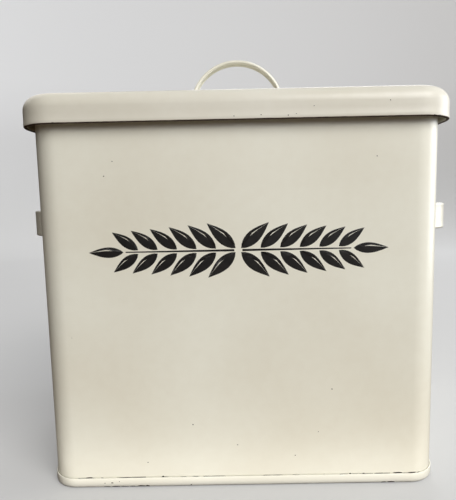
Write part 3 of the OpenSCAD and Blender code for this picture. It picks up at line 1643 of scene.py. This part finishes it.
@dataclass(frozen=True)
class Studio:
    """Plain pale room, its lights and the camera."""

    floor_reach: float = 1.7
    cove: float = 0.6
    wall: float = 2.4
    middle: float = 0.18
    lamp_reach: float = 3.4
    glow_lift: float = 0.002
    sky_strength: float = 0.7
    lens: float = 31.87
    sensor: float = 36.0
    shift: float = -0.03
    eye: tuple[float, float, float] = (0.0057, -0.4526, 0.2322)
    heading: float = -0.35
    tilt: float = 6.19
    roll: float = 1.17

    def room(self) -> None:
        """Builds the floor, which sweeps up into a wall all round.

        Only the camera sees it, so it takes light but neither shades the bin nor tints it.
        """
        profile = join_runs(
            run((0.0, 0.0), (self.floor_reach, 0.0), 0.2),
            arc((self.floor_reach, self.cove), self.cove, -90, 0, 12),
            [(self.floor_reach + self.cove, self.wall)],
        )
        steps = 72
        turns = [2 * math.pi * i / steps for i in range(steps)]
        rings = [[Vector((r * math.cos(a), r * math.sin(a), z)) for r, z in profile] for a in turns]
        mesh = bmesh.new()
        skin_rings(mesh, rings, loop=True, closed=False)
        floor = make_piece("studio_floor", mesh, merge=0.1 * MM)
        floor.data.materials.append(MattPaint("matt_emulsion", "#B0B0AF", "#DADBDC").material())
        for ray in ("diffuse", "glossy", "transmission", "shadow"):
            setattr(floor, f"visible_{ray}", False)

    def lamp(
        self, name: str, way: Point3, reach: float, size: Point, power: float, colour: str
    ) -> None:
        """Adds one soft rectangular lamp that points at the middle of the bin.

        Args:
            name: Its name.
            way: Direction from the bin to the lamp.
            reach: Distance from the bin.
            size: Its width and height.
            power: Its power in watts.
            colour: Its colour.
        """
        light = bpy.data.lights.new(name, "AREA")
        light.shape = "RECTANGLE"
        light.size, light.size_y = size
        light.energy = power
        light.color = linear(colour)[:3]
        lamp = bpy.data.objects.new(name, light)
        out = Vector(way).normalized()
        lamp.location = Vector((0.0, 0.0, self.middle)) + out * reach
        lamp.rotation_euler = (-out).to_track_quat("-Z", "Y").to_euler()
        lamp.visible_camera = False
        bpy.context.scene.collection.objects.link(lamp)

    def lights(self) -> None:
        """Hangs the lamps: a high key from the front right, a window at the right and the fills."""
        far = self.lamp_reach
        self.lamp("key", (0.464, -0.664, 0.587), far, (2.2, 2.2), 106, "#FFFDFA")
        self.lamp("window_right", (0.982, 0.101, 0.161), far, (2.05, 2.05), 52, "#FCFDFF")
        self.lamp("front_fill", (-0.05, -0.93, 0.37), far, (1.6, 1.6), 12, "#FFFDFA")
        self.lamp("back_fill", (0.17, 0.925, 0.341), far, (2.0, 2.0), 54, "#FBFCFF")
        self.lamp("left_fill", (-0.55, 0.55, 0.63), far, (2.2, 2.2), 18, "#FFFAF4")
        self.floor_glow("table_glow", 0.327, (0.7, 0.42), 0.18, "#FFEBD6")
        self.floor_glow("foot_glow", 0.1375, (0.4, 0.045), 0.052, "#FFFBF2")
        self.sky()

    def floor_glow(self, name: str, ahead: float, size: Point, power: float, colour: str) -> None:
        """Lays a faint light flat in front of the foot, as a table throws light back up.

        Args:
            name: Its name.
            ahead: How far in front of the bin's middle it lies.
            size: Its size along and across the front.
            power: Its power in watts.
            colour: Its colour.
        """
        self.lamp(name, (0.0, -1.0, 0.0), ahead, size, power, colour)
        glow = bpy.context.scene.objects[name]
        glow.location.z = self.glow_lift
        glow.rotation_euler = (math.pi, 0.0, 0.0)

    def sky(self) -> None:
        """Makes the room's own soft light: dark at the left and below, bright at the right."""
        world = bpy.data.worlds.new("room_light")
        world.use_nodes = True
        tree = world.node_tree
        tree.nodes.clear()
        way = add_node(tree, "ShaderNodeTexCoord").outputs["Generated"]
        axes = add_node(tree, "ShaderNodeSeparateXYZ", None, {"Vector": way})
        across = add_node(
            tree,
            "ShaderNodeMapRange",
            {"interpolation_type": "SMOOTHSTEP", "From Min": -0.75, "From Max": 0.8},
            {"Value": axes.outputs["X"]},
        )
        above = add_node(
            tree,
            "ShaderNodeMapRange",
            {"interpolation_type": "SMOOTHSTEP", "From Min": -0.12, "From Max": 0.1},
            {"Value": axes.outputs["Z"]},
        )
        room = add_node(
            tree,
            "ShaderNodeMix",
            {"data_type": "RGBA", 6: linear("#342E29"), 7: linear("#DCE0E6")},
            {0: across.outputs["Result"]},
        )
        whole = add_node(
            tree,
            "ShaderNodeMix",
            {"data_type": "RGBA", 6: linear("#4A3B2C")},
            {0: above.outputs["Result"], 7: room.outputs[2]},
        )
        glow = add_node(
            tree,
            "ShaderNodeBackground",
            {"Strength": self.sky_strength},
            {"Color": whole.outputs[2]},
        )
        add_node(tree, "ShaderNodeOutputWorld", None, {"Surface": glow.outputs["Background"]})
        bpy.context.scene.world = world

    def camera(self) -> None:
        """Stands the camera in front of the bin, at about two thirds of its height."""
        heading, tilt, roll = (math.radians(a) for a in (self.heading, self.tilt, self.roll))
        ahead = Vector(
            (
                math.sin(heading) * math.cos(tilt),
                math.cos(heading) * math.cos(tilt),
                -math.sin(tilt),
            )
        )
        right = Vector((math.cos(heading), -math.sin(heading), 0.0))
        down = ahead.cross(right)
        rolled_right = right * math.cos(roll) + down * math.sin(roll)
        rolled_down = down * math.cos(roll) - right * math.sin(roll)
        data = bpy.data.cameras.new("camera")
        data.sensor_width = self.sensor
        data.lens = self.lens
        data.shift_x = self.shift
        data.clip_start = 0.02
        camera = bpy.data.objects.new("camera", data)
        turn = Matrix((rolled_right, -rolled_down, -ahead)).transposed()
        camera.matrix_world = Matrix.Translation(self.eye) @ turn.to_4x4()
        bpy.context.scene.collection.objects.link(camera)
        bpy.context.scene.camera = camera
        bpy.context.scene.view_settings.view_transform = "Standard"

    def build(self) -> None:
        """Builds the whole studio."""
        self.room()
        self.lights()
        self.camera()


# ---------------------------------------------------------------- the bin


def handle_seats(plan: Plan) -> dict[str, Matrix]:
    """Where each handle's own plane stands, worked out from the frame's boxes.

    Args:
        plan: Plan of the walls.

    Returns:
        A placing for each handle by its node's name.
    """
    low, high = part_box("right_handle")
    level = (low.z + high.z) / 2
    quarter = math.radians(90)
    upright = Matrix.Rotation(quarter, 4, "Z") @ Matrix.Rotation(quarter, 4, "X")
    right = Matrix.Translation((plan.half_x, 0.0, level)) @ upright
    mirror = Matrix.Diagonal((-1.0, 1.0, 1.0, 1.0))
    lid_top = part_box("lid_handle")[0].z
    return {
        "right_handle": right,
        "left_handle": mirror @ right,
        "lid_handle": Matrix.Translation((0.0, 0.0, lid_top)),
    }


def dress_wire() -> None:
    """Gives the rim wire, which stays as the frame has it, its drawn steel."""
    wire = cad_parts["rim_wire"]
    wire.data.materials.clear()
    wire.data.materials.append(DrawnSteelWire().material())


def main() -> None:
    """Builds the bin's visible pieces and the studio, in order."""
    logging.basicConfig(level=logging.INFO, format="%(name)s %(message)s")
    plan = frame_plan()
    sheet = Sheet()
    seats = handle_seats(plan)
    side_grip = StrapHandle(radius=39 * MM, rise=5 * MM, width=24 * MM, rivet_spread=12 * MM)
    lid_grip = StrapHandle(radius=46 * MM, rise=6 * MM, width=13 * MM, rivet_spread=0.0)
    side_pins = side_grip.feet(seats["left_handle"]) + side_grip.feet(seats["right_handle"])
    lid_pins = lid_grip.feet(seats["lid_handle"])
    wall_low, wall_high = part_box("body_wall")
    lid_low, lid_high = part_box("lid_pan")
    walls = Walls(plan, sheet, wall_low.z, wall_high.z, tuple(side_pins))
    base = Base(plan, sheet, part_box("base_pan")[1].z)
    lid = Lid(plan, sheet, lid_low.z, lid_high.z, tuple(lid_pins))

    wall_enamel = VitreousEnamel("vitreous_enamel_walls").material()
    # Painted light: the base's cream and aged tones are paler copies of the walls' to stand in for the
    # light that the floor throws up on the band. Along the bottom of its foot lies the band of painted
    # shade.
    base_enamel = VitreousEnamel(
        "vitreous_enamel_base_painted_light_and_shade",
        WearAndShade.FOOT,
        0.0,
        chip_reach=2.2 * MM,
        coat="#F1EFE3",
        aged="#E6E3D4",
    ).material()
    # Painted shade: the lid's cream and aged tones are darker copies of the walls' to stand in for the
    # dimmer light on its raised skirt. Its hem also carries the band of painted shade.
    lid_enamel = VitreousEnamel(
        "vitreous_enamel_lid_painted_shade",
        WearAndShade.HEM,
        lid_low.z,
        shade_band=0.95 * MM,
        coat="#DCD9CD",
        aged="#CFCABA",
        gloss=0.32,
    ).material()
    strap_enamel = VitreousEnamel("vitreous_enamel_straps").material()
    rivet_enamel = VitreousEnamel("vitreous_enamel_rivets").material()
    walls.build(wall_enamel)
    base.build(base_enamel)
    lid.build(lid_enamel)
    side_grip.build("left_handle", Body.BIN, seats["left_handle"], strap_enamel, rivet_enamel)
    side_grip.build("right_handle", Body.BIN, seats["right_handle"], strap_enamel, rivet_enamel)
    lid_grip.build("lid_handle", Body.LID, seats["lid_handle"], strap_enamel, rivet_enamel)
    dress_wire()

    black = FiredBlack(
        "fired_black_enamel", "#0D0C0C", "#1B1816", grain=4 * MM, gloss=0.34, relief=0.02 * MM
    ).material()
    bare = FiredBlack(
        "bared_ground_coat", "#15110F", "#4A3224", grain=0.8 * MM, gloss=0.6, relief=0.08 * MM
    ).material()
    WheatMotif(walls.skin()).build(black)
    foot_wear(base.skin()).build(bare)
    seam_wear(walls.skin()).build(bare)
    lid_wear(lid.skin()).build(bare)

    Studio().build()


if __name__ == "__main__":
    main()
